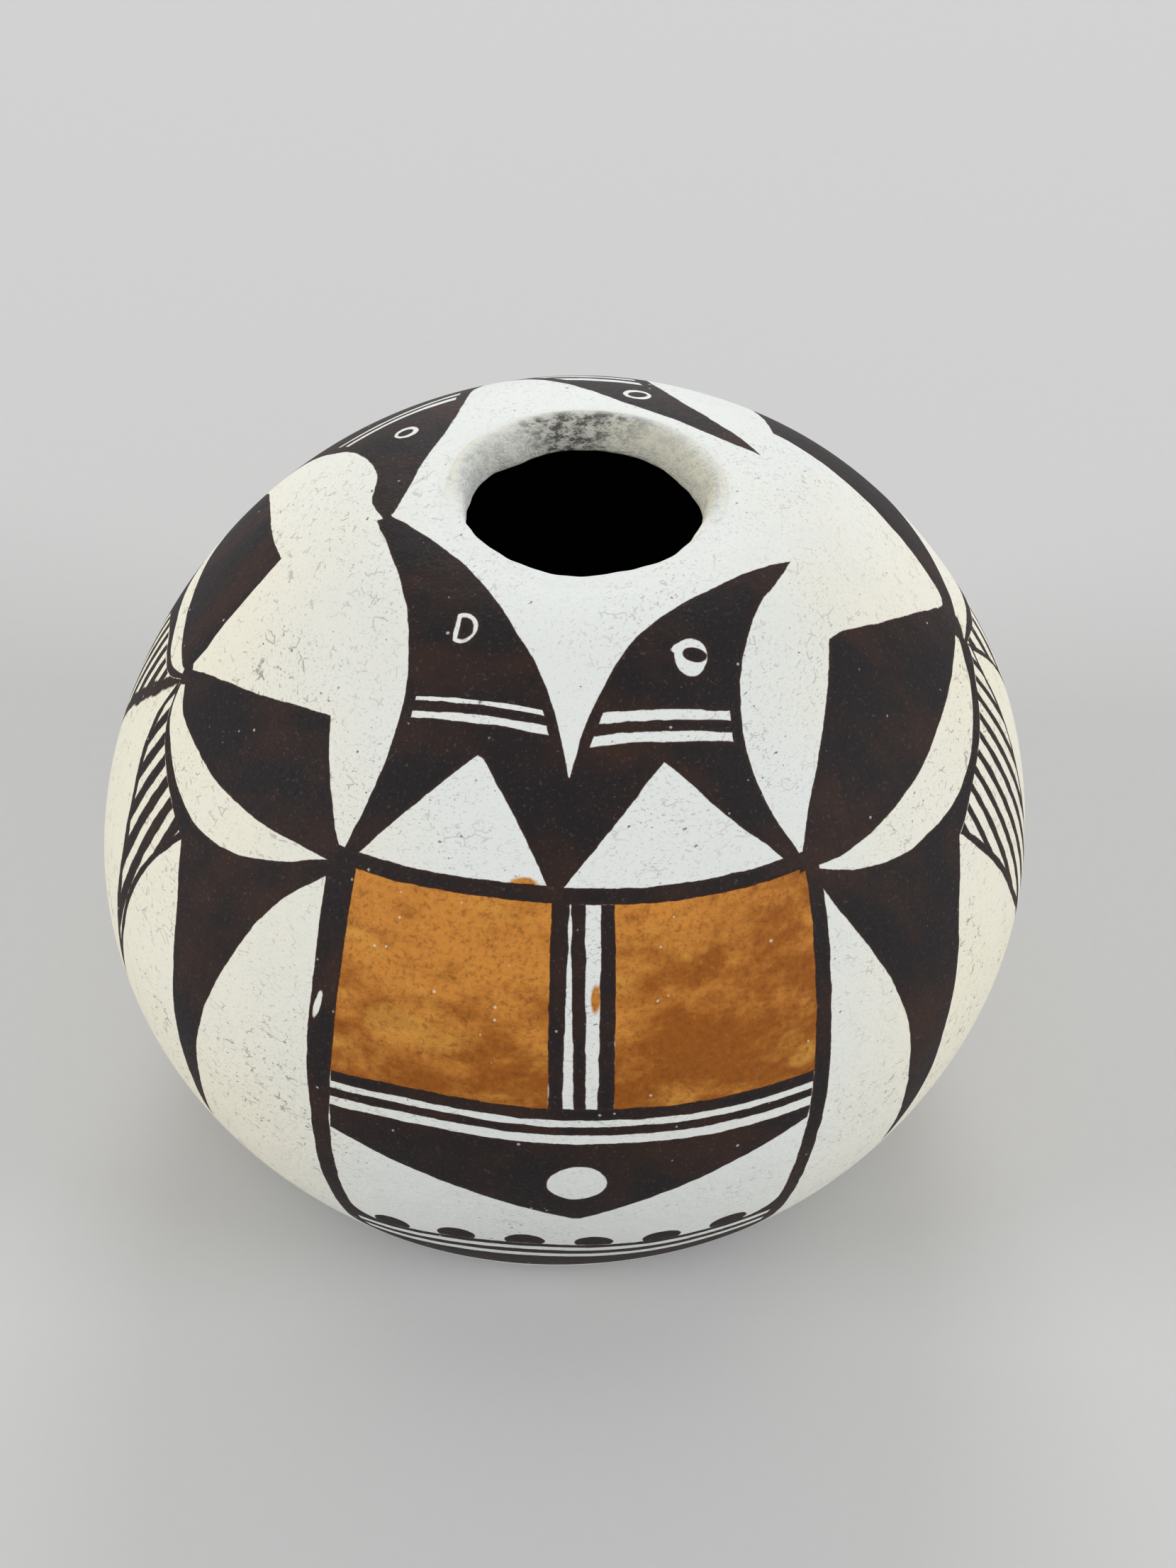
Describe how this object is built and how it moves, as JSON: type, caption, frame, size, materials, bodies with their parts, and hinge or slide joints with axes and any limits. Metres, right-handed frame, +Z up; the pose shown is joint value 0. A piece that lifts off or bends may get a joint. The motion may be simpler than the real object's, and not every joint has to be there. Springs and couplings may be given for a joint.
{
  "type": "seed jar",
  "caption": "Small round fired-clay seed jar with a closed-in shoulder, a small rounded mouth and a flat resting foot.",
  "frame": {"origin": "centre of the jar's plan at the level of the foot it stands on", "axes": "+Z up along the jar's axis through the mouth; the front, with its main painted panel, faces -Y; +X is to the viewer's right"},
  "size_m": [0.112, 0.108, 0.0866],
  "materials": {
    "slipped_clay": "low-fired clay with a stone-polished satin white slip, painted in dark brown mineral paint and orange slip"
  },
  "bodies": {
    "root": {"jar_body": "slipped_clay"}
  },
  "joints": []
}
